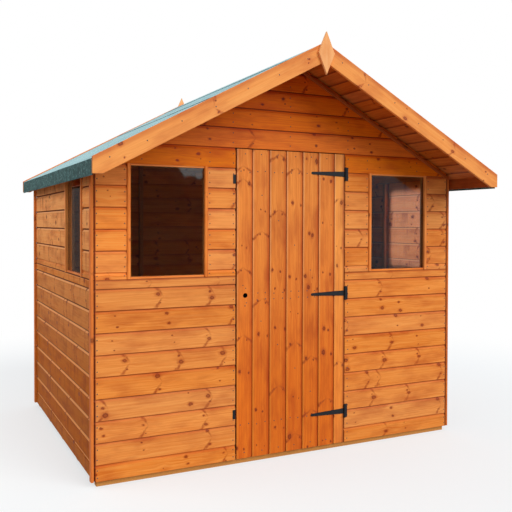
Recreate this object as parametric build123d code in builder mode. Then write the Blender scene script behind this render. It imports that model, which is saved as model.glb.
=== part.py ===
"""Wooden garden shed: shiplap walls on a bearer floor, felted apex roof, one ledged and braced door.

Frame: millimetres, +Z up, ground at Z = 0. X runs along the front gable (door centred on X = 0),
Y runs from the front gable (negative) to the rear gable, and the origin lies on the ground under
the middle of the floor.
"""
from build123d import *
from math import cos, radians, tan
import os

os.makedirs("parts", exist_ok=True)

# ---------------------------------------------------------------- driving dimensions
# walls
gable_width = 2424          # over the ends of the gable boards
wall_depth = 1950           # outer face of the front cladding to outer face of the rear cladding
cladding_thickness = 16     # shiplap
corner_gap = 5              # end of the gable boards to the corner strip
cladding_bottom = 30        # ground to the lower edge of the boards
eaves_height = 1770         # underside of the roof boards at the side walls' outer face
cladding_top_gap = 3        # upper edge of the boards to the roof boards
corner_strip_thickness = 16
corner_strip_width = 38

# base
bearer_height = 45
bearer_width = 45
bearer_count = 5
floor_thickness = 15
base_clearance = 1          # floor and bearers to the inside of the cladding

# wall framing
stud_width = 28
stud_depth = 38
plain_wall_studs = 4        # studs in a wall without an opening
rafter_depth = 38           # square to the slope

# roof
pitch = 28.2                # degrees
roof_board_thickness = 15
felt_thickness = 3
front_overhang = 356        # front wall face to the front end of the roof boards
rear_overhang = 12
eaves_overhang = 86         # side wall face to the plumb cut end of the roof boards
ridge_cap_wing = 170
eaves_batten_width = 30
eaves_batten_depth = 52     # down from the roof boards' end
felt_drop = 64              # down from the roof boards' end
verge_batten_width = 34
collar_length = 1165        # longer, lower edge of the collar tie between the middle rafters
bargeboard_width = 98       # square to the slope
bargeboard_thickness = 18
bargeboard_rise = 8         # above the felt, square to the slope
bargeboard_past_felt = 1    # plumb cut end beyond the face of the felt
bargeboard_end_height = 83  # plumb cut end, above the level cut on the lower corner
finial_width = 106
finial_height = 242
finial_thickness = 16
finial_drop = 66            # apex of the bargeboards to the finial's centre
cover_strip_width = 27      # square to the slope
cover_strip_thickness = 12

# windows
window_width = 473
window_height = 634
window_drop = 15            # eaves height to the top of the openings
window_from_end = 178       # end of the gable boards to the opening
side_window_setback = 280   # front wall face to the side window's opening
glass_thickness = 3
glass_edge_gap = 1
bead_width = 20
bead_proud = 8
top_bead_height = 10
bottom_bead_height = 12
cross_bead_setback = 2
stud_lap = 10               # studs showing inside a window opening
joint_gap = 0.3             # between laths that share a node

# doorway and door
door_width = 750
door_height = 1836
door_bottom = 32
door_board_thickness = 12
door_proud = 1              # face of the door in front of the cladding
latch_gap = 10              # door edge to the cladding on the lock side
hinge_gap = 6               # door edge to the cladding on the hinge side
head_gap = 6
jamb_width = 38
jamb_stop = 18              # jamb studs showing inside the doorway
head_stop = 12
ledge_height = 95
ledge_thickness = 22
ledge_end_gap = 12          # ledges to the jamb studs
brace_width = 90
hinge_above_foot = 201      # lower edge of the door to the low hinge
hinge_below_head = 125      # upper edge of the door to the high hinge

# tee hinges
strap_length = 248          # hinge pin to the tip
strap_root_width = 34
strap_tip_width = 16
hinge_metal = 3
plate_height = 85
plate_width = 22            # hinge pin to the plate's edge
knuckle_radius = 6
pin_radius = 2.5
pin_head_radius = 4
pin_head_height = 1.6
pin_clearance = 0.1
knuckle_gap = 0.4
strap_screws = (40, 95, 150, 205)
plate_screws = (-30, 0, 30)
screw_radius = 2.6
screw_head_radius = 4.6
plate_screw_inset = 15      # hinge pin to the plate's screws
eye_notch_clearance = 0.8

# lock and keep plates
keyhole_inset = 54          # door edge to the keyhole
keyhole_rise = 13           # middle of the middle ledge to the keyhole
keyhole_radius = 14
lock_case_size = (60, 20, 100)
lock_case_inset = 26        # keyhole to the case's free end
lock_keep_size = (3, 20, 80)
keep_plate_size = (16, 2, 54)
keep_above_low_hinge = 67
keep_below_high_hinge = 54

# ---------------------------------------------------------------- what follows from them
slope = tan(radians(pitch))
plumb = 1 / cos(radians(pitch))             # plumb height of one millimetre square to the slope
half_gable = gable_width / 2
side_face = half_gable + corner_gap         # outer face of a side wall
side_inside = side_face - cladding_thickness
frame_inside = side_inside - stud_depth
front_face = -wall_depth / 2
rear_face = wall_depth / 2
front_inside = front_face + cladding_thickness
rear_inside = rear_face - cladding_thickness
ridge_soffit = eaves_height + side_face * slope
floor_top = bearer_height + floor_thickness
base_half_width = side_inside - base_clearance
base_half_depth = rear_inside - base_clearance
roof_half = side_face + eaves_overhang      # plumb cut end of the roof boards
roof_front = front_face - front_overhang
roof_rear = rear_face + rear_overhang
roof_end_height = eaves_height - eaves_overhang * slope     # underside of the roof boards' end
eaves_batten_bottom = roof_end_height - eaves_batten_depth
felt_half = roof_half + felt_thickness
board_plumb = roof_board_thickness * plumb
felt_plumb = felt_thickness * plumb
rafter_plumb = rafter_depth * plumb
felt_apex = ridge_soffit + board_plumb + felt_plumb

doorway_left = -door_width / 2 - latch_gap
doorway_right = door_width / 2 + hinge_gap
doorway_head = door_bottom + door_height + head_gap
jamb_left = doorway_left + jamb_stop        # inner faces of the jamb studs
jamb_right = doorway_right - jamb_stop
head_rail_bottom = doorway_head - head_stop
low_hinge = door_bottom + hinge_above_foot
high_hinge = door_bottom + door_height - hinge_below_head
hinge_heights = (low_hinge, (low_hinge + high_hinge) / 2, high_hinge)
keep_plate_heights = (low_hinge + keep_above_low_hinge, high_hinge - keep_below_high_hinge)
door_front = front_face - door_proud
door_back = door_front + door_board_thickness
ledge_back = door_back + ledge_thickness
ledge_left = jamb_left + ledge_end_gap
ledge_right = jamb_right - ledge_end_gap
pin_x = door_width / 2 + hinge_gap / 2
pin_y = door_front - knuckle_radius

window_top = eaves_height - window_drop
window_bottom = window_top - window_height
window_outer = half_gable - window_from_end
window_inner = window_outer - window_width
side_window_front = front_face + side_window_setback
side_window_rear = side_window_front + window_width


def soffit(x):
    """Height of the roof boards' underside at a distance x from the ridge line."""
    return ridge_soffit - abs(x) * slope


def gable_top(x):
    """Height of the gable boards' sloping edge at x."""
    return soffit(x) - cladding_top_gap * plumb


def gable_half_at(z):
    """Half width of the gable boards at height z, where the slope cuts them."""
    return (ridge_soffit - cladding_top_gap * plumb - z) / slope


def facing_front(y):
    """Plane drawn as seen from the front, X right and Z up; a negative extrude goes towards the rear."""
    return Plane.XZ.offset(-y)


def facing_right(x):
    """Plane drawn with Y right and Z up; a positive extrude goes towards +X."""
    return Plane.YZ.offset(x)


def outline(*points):
    """Face inside the closed polygon through the points, in the running sketch."""
    Polygon(*points, align=None)


def block(low, high):
    """Rectangle between two corners, in the running sketch."""
    outline(low, (high[0], low[1]), high, (low[0], high[1]))


def finish(piece, name):
    """Labels a finished piece and writes its STEP file."""
    piece.part.label = name
    export_step(piece.part, f"parts/{name}.step")


# ---------------------------------------------------------------- base
bearer_pitch = (2 * base_half_depth - bearer_width) / (bearer_count - 1)

with BuildPart() as floor_bearers:
    with BuildSketch():
        with GridLocations(0, bearer_pitch, 1, bearer_count):
            Rectangle(2 * base_half_width, bearer_width)
    extrude(amount=bearer_height)
finish(floor_bearers, "floor_bearers")

with BuildPart() as floor_boards:
    with BuildSketch(Plane.XY.offset(bearer_height)):
        Rectangle(2 * base_half_width, 2 * base_half_depth)
    extrude(amount=floor_thickness)
finish(floor_boards, "floor_boards")

# ---------------------------------------------------------------- cladding
for side, name in ((-1, "front_wall_left"), (1, "front_wall_right")):
    doorway_edge = doorway_left if side < 0 else doorway_right
    with BuildPart() as front_wall:
        with BuildSketch(facing_front(front_face)):
            outline(
                (side * half_gable, cladding_bottom),
                (doorway_edge, cladding_bottom),
                (doorway_edge, doorway_head),
                (side * gable_half_at(doorway_head), doorway_head),
                (side * half_gable, gable_top(half_gable)),
            )
            with Locations((side * (window_inner + window_outer) / 2, (window_bottom + window_top) / 2)):
                Rectangle(window_width, window_top - window_bottom, mode=Mode.SUBTRACT)
        extrude(amount=-cladding_thickness)
    finish(front_wall, name)

with BuildPart() as front_gable:
    with BuildSketch(facing_front(front_face)):
        outline(
            (-gable_half_at(doorway_head), doorway_head),
            (gable_half_at(doorway_head), doorway_head),
            (0, gable_top(0)),
        )
    extrude(amount=-cladding_thickness)
finish(front_gable, "front_gable")

with BuildPart() as rear_wall:
    with BuildSketch(facing_front(rear_face)):
        outline(
            (-half_gable, cladding_bottom),
            (half_gable, cladding_bottom),
            (half_gable, gable_top(half_gable)),
            (0, gable_top(0)),
            (-half_gable, gable_top(half_gable)),
        )
    extrude(amount=cladding_thickness)
finish(rear_wall, "rear_wall")

side_wall_top = gable_top(side_face)

with BuildPart() as left_wall:
    with BuildSketch(facing_right(-side_face)):
        block((front_inside, cladding_bottom), (rear_inside, side_wall_top))
        with Locations(((side_window_front + side_window_rear) / 2, (window_bottom + window_top) / 2)):
            Rectangle(window_width, window_top - window_bottom, mode=Mode.SUBTRACT)
    extrude(amount=cladding_thickness)
finish(left_wall, "left_wall")

with BuildPart() as right_wall:
    with BuildSketch(facing_right(side_face)):
        block((front_inside, cladding_bottom), (rear_inside, side_wall_top))
    extrude(amount=-cladding_thickness)
finish(right_wall, "right_wall")

with BuildPart() as corner_strips:
    with BuildSketch(Plane.XY.offset(cladding_bottom)):
        with GridLocations(
            2 * side_face + corner_strip_thickness, wall_depth - corner_strip_width, 2, 2
        ):
            Rectangle(corner_strip_thickness, corner_strip_width)
    extrude(amount=gable_top(side_face + corner_strip_thickness) - cladding_bottom)
finish(corner_strips, "corner_strips")

# ---------------------------------------------------------------- wall framing
front_frame = facing_front(front_inside)
rear_frame = facing_front(rear_inside)


def under_rafter(x):
    """Height of the gable rafters' underside at x."""
    return soffit(x) - rafter_plumb


def post(x_low, z_low, width):
    """Outline of a stud that runs up to the gable rafters, in a gable frame's plane."""
    outline(
        (x_low, z_low),
        (x_low + width, z_low),
        (x_low + width, under_rafter(x_low + width)),
        (x_low, under_rafter(x_low)),
    )


end_stud = frame_inside - stud_width            # inner side of the studs next to the side frames
outer_window_stud = window_outer - stud_lap     # inner side of the studs beside the windows
inner_window_stud = window_inner + stud_lap - stud_width
door_header_top = head_rail_bottom + stud_depth
sill_rail_bottom = window_bottom + stud_lap - stud_width

with BuildPart() as front_studs:
    with BuildSketch(front_frame):
        for x in (end_stud, outer_window_stud, inner_window_stud):
            post(x, floor_top, stud_width)
            post(-x - stud_width, floor_top, stud_width)
        post(jamb_left - jamb_width, floor_top, jamb_width)
        post(jamb_right, floor_top, jamb_width)
        block((-stud_width / 2, door_header_top), (stud_width / 2, under_rafter(stud_width / 2)))
    extrude(amount=-stud_depth)
finish(front_studs, "front_studs")

with BuildPart() as front_rails:
    with BuildSketch(front_frame):
        for side in (-1, 1):
            jamb = jamb_left - jamb_width if side < 0 else jamb_right + jamb_width
            bays = (
                (side * end_stud, side * (outer_window_stud + stud_width)),
                (side * outer_window_stud, side * (inner_window_stud + stud_width)),
                (side * inner_window_stud, jamb),
            )
            for low, high in bays:
                block((low, floor_top), (high, floor_top + stud_width))
            window_bay_low, window_bay_high = bays[1]
            block((window_bay_low, sill_rail_bottom), (window_bay_high, sill_rail_bottom + stud_width))
            block((window_bay_low, window_top - top_bead_height), (window_bay_high, window_top + stud_lap))
        block((jamb_left, head_rail_bottom), (jamb_right, door_header_top))
    extrude(amount=-stud_depth)
finish(front_rails, "front_rails")



def even_studs(low, high):
    """Low sides of a plain wall's studs, spread evenly so that the end ones lie at low and below high."""
    spacing = (high - stud_width - low) / (plain_wall_studs - 1)
    return tuple(low + spacing * step for step in range(plain_wall_studs))


rear_stud_lines = even_studs(-frame_inside, frame_inside)
mid_rail_bottom = (floor_top + eaves_height) / 2

with BuildPart() as rear_studs:
    with BuildSketch(rear_frame):
        for x in rear_stud_lines:
            post(x, floor_top, stud_width)
    extrude(amount=stud_depth)
finish(rear_studs, "rear_studs")

with BuildPart() as rear_rails:
    with BuildSketch(rear_frame):
        for left, right in zip(rear_stud_lines, rear_stud_lines[1:]):
            for z in (floor_top, mid_rail_bottom):
                block((left + stud_width, z), (right, z + stud_width))
    extrude(amount=stud_depth)
finish(rear_rails, "rear_rails")

side_window_stud_front = side_window_front + stud_lap - stud_width
side_window_stud_rear = side_window_rear - stud_lap
left_stud_lines = (
    front_inside,
    side_window_stud_front,
    side_window_stud_rear,
    (side_window_stud_rear + rear_inside) / 2,
    rear_inside - stud_width,
)
right_stud_lines = even_studs(front_inside, rear_inside)
top_rail_bottom = eaves_height - stud_width

side_walls = ((-1, left_stud_lines), (1, right_stud_lines))

with BuildPart() as side_studs:
    for side, stud_lines in side_walls:
        with BuildSketch(facing_right(side * side_inside)):
            for y in stud_lines:
                block((y, floor_top), (y + stud_width, top_rail_bottom))
        extrude(amount=-side * stud_depth)
finish(side_studs, "side_studs")

with BuildPart() as side_rails:
    for side, stud_lines in side_walls:
        with BuildSketch(facing_right(side * side_inside)):
            for front, rear in zip(stud_lines, stud_lines[1:]):
                below_window = side < 0 and front == side_window_stud_front
                upper_rail = sill_rail_bottom if below_window else mid_rail_bottom
                for z in (floor_top, upper_rail):
                    block((front + stud_width, z), (rear, z + stud_width))
        extrude(amount=-side * stud_depth)
finish(side_rails, "side_rails")

with BuildPart() as top_rails:
    with BuildSketch(front_frame):
        for side in (-1, 1):
            outline(
                (side * side_inside, top_rail_bottom),
                (side * side_inside, soffit(side_inside)),
                (side * frame_inside, soffit(frame_inside)),
                (side * frame_inside, top_rail_bottom),
            )
    extrude(amount=front_inside - rear_inside)
finish(top_rails, "top_rails")

with BuildPart() as rafters:
    for y in (front_inside, -stud_depth / 2, rear_inside - stud_depth):
        with BuildSketch(facing_front(y)):
            for side in (-1, 1):
                ridge_x = side * joint_gap / 2
                outline(
                    (ridge_x, soffit(ridge_x)),
                    (side * frame_inside, soffit(frame_inside)),
                    (side * frame_inside, under_rafter(frame_inside)),
                    (ridge_x, under_rafter(ridge_x)),
                )
        extrude(amount=-stud_depth)
finish(rafters, "rafters")

collar_bottom = soffit(collar_length / 2) - rafter_plumb / 2
collar_taper = stud_depth / slope

with BuildPart() as collar_tie:
    with BuildSketch(facing_front(stud_depth / 2)):
        outline(
            (-collar_length / 2, collar_bottom),
            (collar_length / 2, collar_bottom),
            (collar_length / 2 - collar_taper, collar_bottom + stud_depth),
            (-collar_length / 2 + collar_taper, collar_bottom + stud_depth),
        )
    extrude(amount=-stud_width)
finish(collar_tie, "collar_tie")

# ---------------------------------------------------------------- roof
roof_end = facing_front(roof_front)
roof_run = roof_front - roof_rear           # extrusion from the front end to the rear end


def boards_top(x):
    """Height of the roof boards' upper side at x."""
    return soffit(x) + board_plumb


def felt_top(x):
    """Height of the felt's upper side at x."""
    return felt_apex - abs(x) * slope


for side, name in ((-1, "left"), (1, "right")):
    with BuildPart() as roof_boards:
        with BuildSketch(roof_end):
            outline(
                (0, soffit(0)),
                (side * roof_half, soffit(roof_half)),
                (side * roof_half, boards_top(roof_half)),
                (0, boards_top(0)),
            )
        extrude(amount=roof_run)
    finish(roof_boards, f"roof_boards_{name}")

    with BuildPart() as roof_felt:
        with BuildSketch(roof_end):
            outline(
                (0, boards_top(0)),
                (side * roof_half, boards_top(roof_half)),
                (side * roof_half, roof_end_height - felt_drop),
                (side * felt_half, roof_end_height - felt_drop),
                (side * felt_half, felt_top(felt_half)),
                (0, felt_top(0)),
            )
        extrude(amount=roof_run)
    finish(roof_felt, f"roof_felt_{name}")

cap_half = ridge_cap_wing * cos(radians(pitch))

with BuildPart() as ridge_cap:
    with BuildSketch(roof_end):
        outline(
            (-cap_half, felt_top(cap_half)),
            (0, felt_top(0)),
            (cap_half, felt_top(cap_half)),
            (cap_half, felt_top(cap_half) + felt_plumb),
            (0, felt_top(0) + felt_plumb),
            (-cap_half, felt_top(cap_half) + felt_plumb),
        )
    extrude(amount=roof_run)
finish(ridge_cap, "ridge_cap")

batten_inside = roof_half - eaves_batten_width

with BuildPart() as eaves_battens:
    with BuildSketch(roof_end):
        for side in (-1, 1):
            outline(
                (side * batten_inside, eaves_batten_bottom),
                (side * roof_half, eaves_batten_bottom),
                (side * roof_half, soffit(roof_half)),
                (side * batten_inside, soffit(batten_inside)),
            )
    extrude(amount=roof_run)
finish(eaves_battens, "eaves_battens")

with BuildPart() as verge_battens:
    with BuildSketch(roof_end):
        for side in (-1, 1):
            ridge_x = side * joint_gap / 2
            outline(
                (ridge_x, soffit(ridge_x)),
                (side * batten_inside, soffit(batten_inside)),
                (side * batten_inside, under_rafter(batten_inside)),
                (ridge_x, under_rafter(ridge_x)),
            )
    extrude(amount=-verge_batten_width)
finish(verge_battens, "verge_battens")

# ---------------------------------------------------------------- bargeboards and finials
barge_apex = felt_apex + bargeboard_rise * plumb
barge_end = felt_half + bargeboard_past_felt
barge_plumb = bargeboard_width * plumb
barge_end_top = barge_apex - barge_end * slope
barge_end_bottom = barge_end_top - bargeboard_end_height
clip_half = (barge_apex - barge_plumb - barge_end_bottom) / slope
finial_centre = barge_apex - finial_drop

for place, plane in (
    ("front", facing_front(roof_front)),
    ("rear", facing_front(roof_rear + bargeboard_thickness)),
):
    for side, name in ((-1, "left"), (1, "right")):
        with BuildPart() as bargeboard:
            with BuildSketch(plane):
                outline(
                    (0, barge_apex),
                    (side * barge_end, barge_end_top),
                    (side * barge_end, barge_end_bottom),
                    (side * clip_half, barge_end_bottom),
                    (0, barge_apex - barge_plumb),
                )
            extrude(amount=bargeboard_thickness)
        finish(bargeboard, f"{place}_bargeboard_{name}")

for place, plane in (
    ("front", facing_front(roof_front - bargeboard_thickness)),
    ("rear", facing_front(roof_rear + bargeboard_thickness + finial_thickness)),
):
    with BuildPart() as finial:
        with BuildSketch(plane):
            outline(
                (0, finial_centre - finial_height / 2),
                (finial_width / 2, finial_centre),
                (0, finial_centre + finial_height / 2),
                (-finial_width / 2, finial_centre),
            )
        extrude(amount=finial_thickness)
    finish(finial, f"{place}_finial")

with BuildPart() as gable_cover_strips:
    with BuildSketch(facing_front(front_face)):
        for side in (-1, 1):
            ridge_x = side * joint_gap / 2
            outline(
                (ridge_x, gable_top(ridge_x)),
                (side * side_face, gable_top(side_face)),
                (side * side_face, gable_top(side_face) - cover_strip_width * plumb),
                (ridge_x, gable_top(ridge_x) - cover_strip_width * plumb),
            )
    extrude(amount=cover_strip_thickness)
finish(gable_cover_strips, "gable_cover_strips")

# ---------------------------------------------------------------- windows
bead_back = cladding_thickness - glass_thickness    # beads to the cladding's face
cross_bead_half = window_width / 2 - bead_width - joint_gap
window_middle = (window_inner + window_outer) / 2
side_window_middle = (side_window_front + side_window_rear) / 2

# each window: name, plane on the cladding's face, middle of the opening, direction inwards
windows = (
    ("front_left_window_beads", facing_front(front_face), -window_middle, -1),
    ("front_right_window_beads", facing_front(front_face), window_middle, -1),
    ("side_window_beads", facing_right(-side_face), side_window_middle, 1),
)

for name, face, middle, inwards in windows:
    with BuildPart() as beads:
        with BuildSketch(face.offset(-inwards * bead_proud)):
            with Locations((middle, (window_bottom + window_top) / 2)):
                with GridLocations(window_width - bead_width, 0, 2, 1):
                    Rectangle(bead_width, window_height)
        extrude(amount=inwards * (bead_proud + bead_back))
        with BuildSketch(face.offset(inwards * cross_bead_setback)):
            block(
                (middle - cross_bead_half, window_bottom),
                (middle + cross_bead_half, window_bottom + bottom_bead_height),
            )
            block(
                (middle - cross_bead_half, window_top - top_bead_height),
                (middle + cross_bead_half, window_top),
            )
        extrude(amount=inwards * (bead_back - cross_bead_setback))
    finish(beads, name)

with BuildPart() as window_panes:
    for name, face, middle, inwards in windows:
        with BuildSketch(face.offset(inwards * bead_back)):
            with Locations((middle, (window_bottom + window_top) / 2)):
                Rectangle(window_width - 2 * glass_edge_gap, window_height - 2 * glass_edge_gap)
        extrude(amount=inwards * glass_thickness)
finish(window_panes, "window_panes")

# ---------------------------------------------------------------- door
keyhole_x = -door_width / 2 + keyhole_inset
keyhole_height = hinge_heights[1] + keyhole_rise

with BuildPart() as door_boards:
    with BuildSketch(facing_front(door_front)):
        with Locations((0, door_bottom + door_height / 2)):
            Rectangle(door_width, door_height)
        with Locations((keyhole_x, keyhole_height)):
            Circle(keyhole_radius, mode=Mode.SUBTRACT)
    extrude(amount=-door_board_thickness)
finish(door_boards, "door_boards")

with BuildPart() as door_ledges:
    with BuildSketch(facing_front(door_back)):
        for z in hinge_heights:
            block((ledge_left, z - ledge_height / 2), (ledge_right, z + ledge_height / 2))
        with Locations((keyhole_x, keyhole_height)):
            Circle(keyhole_radius, mode=Mode.SUBTRACT)
    extrude(amount=-ledge_thickness)
finish(door_ledges, "door_ledges")

with BuildPart() as door_braces:
    with BuildSketch(facing_front(door_back)):
        for low, high in zip(hinge_heights, hinge_heights[1:]):
            brace_bottom = low + ledge_height / 2
            brace_top = high - ledge_height / 2
            lean = Vector(ledge_left - ledge_right + brace_width, brace_top - brace_bottom).normalized()
            foot = brace_width / lean.Y
            outline(
                (ledge_right - foot, brace_bottom),
                (ledge_right, brace_bottom),
                (ledge_left + foot, brace_top),
                (ledge_left, brace_top),
            )
    extrude(amount=-ledge_thickness)
finish(door_braces, "door_braces")

# ---------------------------------------------------------------- tee hinges
pin_points = [(pin_x, pin_y, z) for z in hinge_heights]
plate_half = plate_height / 2
strap_half = strap_root_width / 2
tip_radius = strap_tip_width / 2
plate_knuckle = plate_half - strap_half - knuckle_gap
knuckle_middle = plate_half - plate_knuckle / 2
eye_points = [(pin_x, pin_y, z + side * knuckle_middle) for z in hinge_heights for side in (-1, 1)]
head_middle = plate_half + pin_head_height / 2
head_points = [(pin_x, pin_y, z + side * head_middle) for z in hinge_heights for side in (-1, 1)]
strap_screw_points = [(pin_x - run, z) for z in hinge_heights for run in strap_screws]
plate_screw_points = [(pin_x + plate_screw_inset, z + rise) for z in hinge_heights for rise in plate_screws]
bore_radius = pin_radius + pin_clearance

with BuildPart() as hinge_straps:
    with BuildSketch(facing_front(door_front)):
        for z in hinge_heights:
            with BuildLine():
                tip_start = (pin_x - strap_length + tip_radius, z - tip_radius)
                tip_end = (pin_x - strap_length + tip_radius, z + tip_radius)
                Polyline(tip_end, (pin_x, z + strap_half), (pin_x, z - strap_half), tip_start)
                ThreePointArc(tip_start, (pin_x - strap_length, z), tip_end)
            make_face()
    extrude(amount=hinge_metal)
    with Locations(*pin_points):
        Cylinder(knuckle_radius, strap_root_width)
        Cylinder(bore_radius, strap_root_width, mode=Mode.SUBTRACT)
    with Locations(facing_front(door_front - hinge_metal)):
        with Locations(*strap_screw_points):
            CounterSinkHole(screw_radius, screw_head_radius)
finish(hinge_straps, "hinge_straps")

with BuildPart() as hinge_plates:
    with BuildSketch(facing_front(front_face)):
        for z in hinge_heights:
            block((pin_x, z - plate_half), (pin_x + plate_width, z + plate_half))
    extrude(amount=hinge_metal)
    with Locations(*eye_points):
        Cylinder(knuckle_radius, plate_knuckle)
    # notch that leaves room for the strap's eye to turn
    with Locations(*pin_points):
        Cylinder(
            knuckle_radius + eye_notch_clearance, strap_root_width + 2 * knuckle_gap, mode=Mode.SUBTRACT
        )
    with Locations(*eye_points):
        Cylinder(bore_radius, plate_knuckle, mode=Mode.SUBTRACT)
    with Locations(facing_front(front_face - hinge_metal)):
        with Locations(*plate_screw_points):
            CounterSinkHole(screw_radius, screw_head_radius)
finish(hinge_plates, "hinge_plates")

with BuildPart() as hinge_pins:
    with Locations(*pin_points):
        Cylinder(pin_radius, plate_height)
    with Locations(*head_points):
        Cylinder(pin_head_radius, pin_head_height)
finish(hinge_pins, "hinge_pins")

# ---------------------------------------------------------------- lock and keep plates
case_width, case_thickness, case_height = lock_case_size
keep_thickness, keep_depth, keep_height = lock_keep_size

with BuildPart() as lock_case:
    with BuildSketch(facing_front(ledge_back)):
        with Locations((keyhole_x - lock_case_inset + case_width / 2, keyhole_height)):
            Rectangle(case_width, case_height)
    extrude(amount=-case_thickness)
finish(lock_case, "lock_case")

with BuildPart() as lock_keep:
    with BuildSketch(facing_right(jamb_left)):
        with Locations((ledge_back + keep_depth / 2, keyhole_height)):
            Rectangle(keep_depth, keep_height)
    extrude(amount=keep_thickness)
finish(lock_keep, "lock_keep")

with BuildPart() as keep_plates:
    keep_width, keep_metal, keep_tall = keep_plate_size
    with BuildSketch(facing_front(front_face)):
        with Locations(*((doorway_left - keep_width / 2, z) for z in keep_plate_heights)):
            Rectangle(keep_width, keep_tall)
    extrude(amount=keep_metal)
finish(keep_plates, "keep_plates")
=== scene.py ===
# %% [markdown]
# # A timber garden shed, dressed board by board
# The construction of the shed comes in as a fixed frame: every stud, board and hinge is already at
# its real place. This lesson gives it its looks. Most pieces of a shed are boards, so most of the
# work is one idea used again and again: a profile, carried along a straight run. The finish is
# stained softwood, so most of the material work is one recipe for grain and knots.

# %% Load the frame
from functools import partial
from math import cos, pi, radians, sin, tan

import bmesh
import bpy
import numpy as np
from mathutils import Matrix, Vector


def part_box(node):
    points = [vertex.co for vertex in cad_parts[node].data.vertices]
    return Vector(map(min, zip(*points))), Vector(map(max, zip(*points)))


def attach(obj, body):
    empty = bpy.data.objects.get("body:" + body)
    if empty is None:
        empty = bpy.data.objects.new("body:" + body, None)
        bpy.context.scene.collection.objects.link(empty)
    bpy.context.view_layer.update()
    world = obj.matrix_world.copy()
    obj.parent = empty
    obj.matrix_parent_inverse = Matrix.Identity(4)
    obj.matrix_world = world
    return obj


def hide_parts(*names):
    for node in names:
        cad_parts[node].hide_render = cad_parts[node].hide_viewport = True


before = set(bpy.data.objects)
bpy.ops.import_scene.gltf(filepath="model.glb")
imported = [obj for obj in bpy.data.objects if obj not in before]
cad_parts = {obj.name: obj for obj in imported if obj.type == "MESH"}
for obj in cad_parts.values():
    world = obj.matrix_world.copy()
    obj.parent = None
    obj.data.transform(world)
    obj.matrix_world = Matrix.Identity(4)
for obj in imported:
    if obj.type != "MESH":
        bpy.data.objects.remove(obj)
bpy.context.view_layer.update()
mm = 0.001

# %% [markdown]
# ## Where things are
# Positions are read from the frame's own boxes, so nothing is typed twice. A shed is laid out from
# a few faces: the front cladding, the side cladding, the line of the roof and the openings.

# %% Read the main faces and lines
def low(node):
    return np.array(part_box(node)[0])


def high(node):
    return np.array(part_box(node)[1])


HANDS = ((-1, "left"), (1, "right"))
PITCH = radians(28.2)  # slope of the roof
SLOPE = tan(PITCH)
front_y, rear_y = low("front_gable")[1], high("rear_wall")[1]
side_x, gable_x = high("right_wall")[0], high("rear_wall")[0]
inside_front, inside_rear = high("front_gable")[1], low("rear_wall")[1]
foot, door_head = low("rear_wall")[2], low("front_gable")[2]
doorway = high("front_wall_left")[0], low("front_wall_right")[0]
roof_x, roof_foot = high("roof_boards_right")[0], low("roof_boards_right")[2]
roof_run = low("roof_boards_right")[1], high("roof_boards_right")[1]
ridge = roof_foot + roof_x * SLOPE  # underside of the roof boards at the ridge
gable_tip = high("rear_wall")[2]  # where the gable's two slopes meet
print(f"ridge at {ridge:.3f} m, eaves at x {roof_x:.3f} m, doorway {doorway[0]:.3f} to {doorway[1]:.3f} m")


def gable_reach(z):
    """Half width of a gable at height z: the eaves' width, or less where the slope cuts it off."""
    return np.minimum(gable_x, (gable_tip - z) / SLOPE)


# %% [markdown]
# ## A board is a closed profile carried along its length
# A board could be a cube with a bevel, but then a slanting end, a cove or a slight bow would each
# need another trick. Instead every board here is a grid: one way runs round its cross-section, the
# other way runs along it. Two facts travel with each point for the wood's material. One is where it
# lies in its own board, so that grain follows every board, upright, level or sloping. The other is
# the board's random tone and hue, so that no two neighbours match, with the point's share of the
# board's width.

# %% A profile carried along a run
rng = np.random.default_rng(11)
LOG = 37  # boards are cut from one log of this length
BOW_LENGTH = 1.7  # a board bows to and fro once in this length


def triples(*parts):
    """Three facts of every point side by side, whatever shape each one comes in."""
    return np.stack(np.broadcast_arrays(*parts), -1).reshape(-1, 3)


def skin(rings, count, wrapped=False):
    """Faces of a shell whose points lie in rings of count points: four corners each, two neighbours
    on one ring and the same two on the next. A face closes the first ring and the last one, unless
    the shell is wrapped, with its last ring joined to its first."""
    ring, spot = np.meshgrid(np.arange(rings if wrapped else rings - 1), np.arange(count), indexing="ij")
    after, beside = (ring + 1) % rings, (spot + 1) % count
    corners = [ring * count + spot, ring * count + beside, after * count + beside, after * count + spot]
    faces = np.stack(corners, -1).reshape(-1, 4).tolist()
    if not wrapped:
        faces += [list(range(count)), list(range((rings - 1) * count, rings * count))]
    return faces


def carry(loop, run, place, step=70 * mm, bow=0.4 * mm):
    """Closed shell of a profile along a straight run.

    Point (i, k) lies at start(k) + u_i * (stop(k) - start(k)) along the run, where u_i goes evenly
    from 0 to 1, and at the profile's k-th (across, depth), moved across by a slow sine of its place
    along. place turns (along, across, depth) into x, y, z."""
    across, depth = np.asarray(loop, float).T
    start, stop = (np.broadcast_to(end(across, depth) if callable(end) else end, across.shape) for end in run)
    stations = max(2, int(np.ceil(np.max(stop - start) / step)) + 1)
    along = start + np.linspace(0, 1, stations)[:, None] * (stop - start)
    phase, seed, tone, hue = rng.uniform(0, 1, 4)
    bowed = across + bow * np.sin(2 * pi * (along / BOW_LENGTH + phase))
    middle = (across.min() + across.max()) / 2
    grain = triples(along + LOG * seed, across - middle, depth + seed)
    board = triples(tone + 0 * along, hue, (across - across.min()) / np.ptp(across))
    return triples(*place(along, bowed, depth)), skin(stations, len(across)), grain, board


def lath(width, thickness, ease=1.2 * mm, extra=()):
    """Profile of a plain sawn lath: a rectangle with its four arrises taken off by ease. Extra
    heights put more points on both faces, where an end cut has a corner."""
    up = sorted([ease, width - ease, *extra])
    back = [(h, thickness) for h in reversed(up)]
    edge = [(width, ease), (width, thickness - ease)]
    return [(0, ease), *((h, 0) for h in up), *edge, *back, (0, thickness - ease)]


print("a plain lath has", len(lath(0.1, 0.02)), "points round its section")

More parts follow.
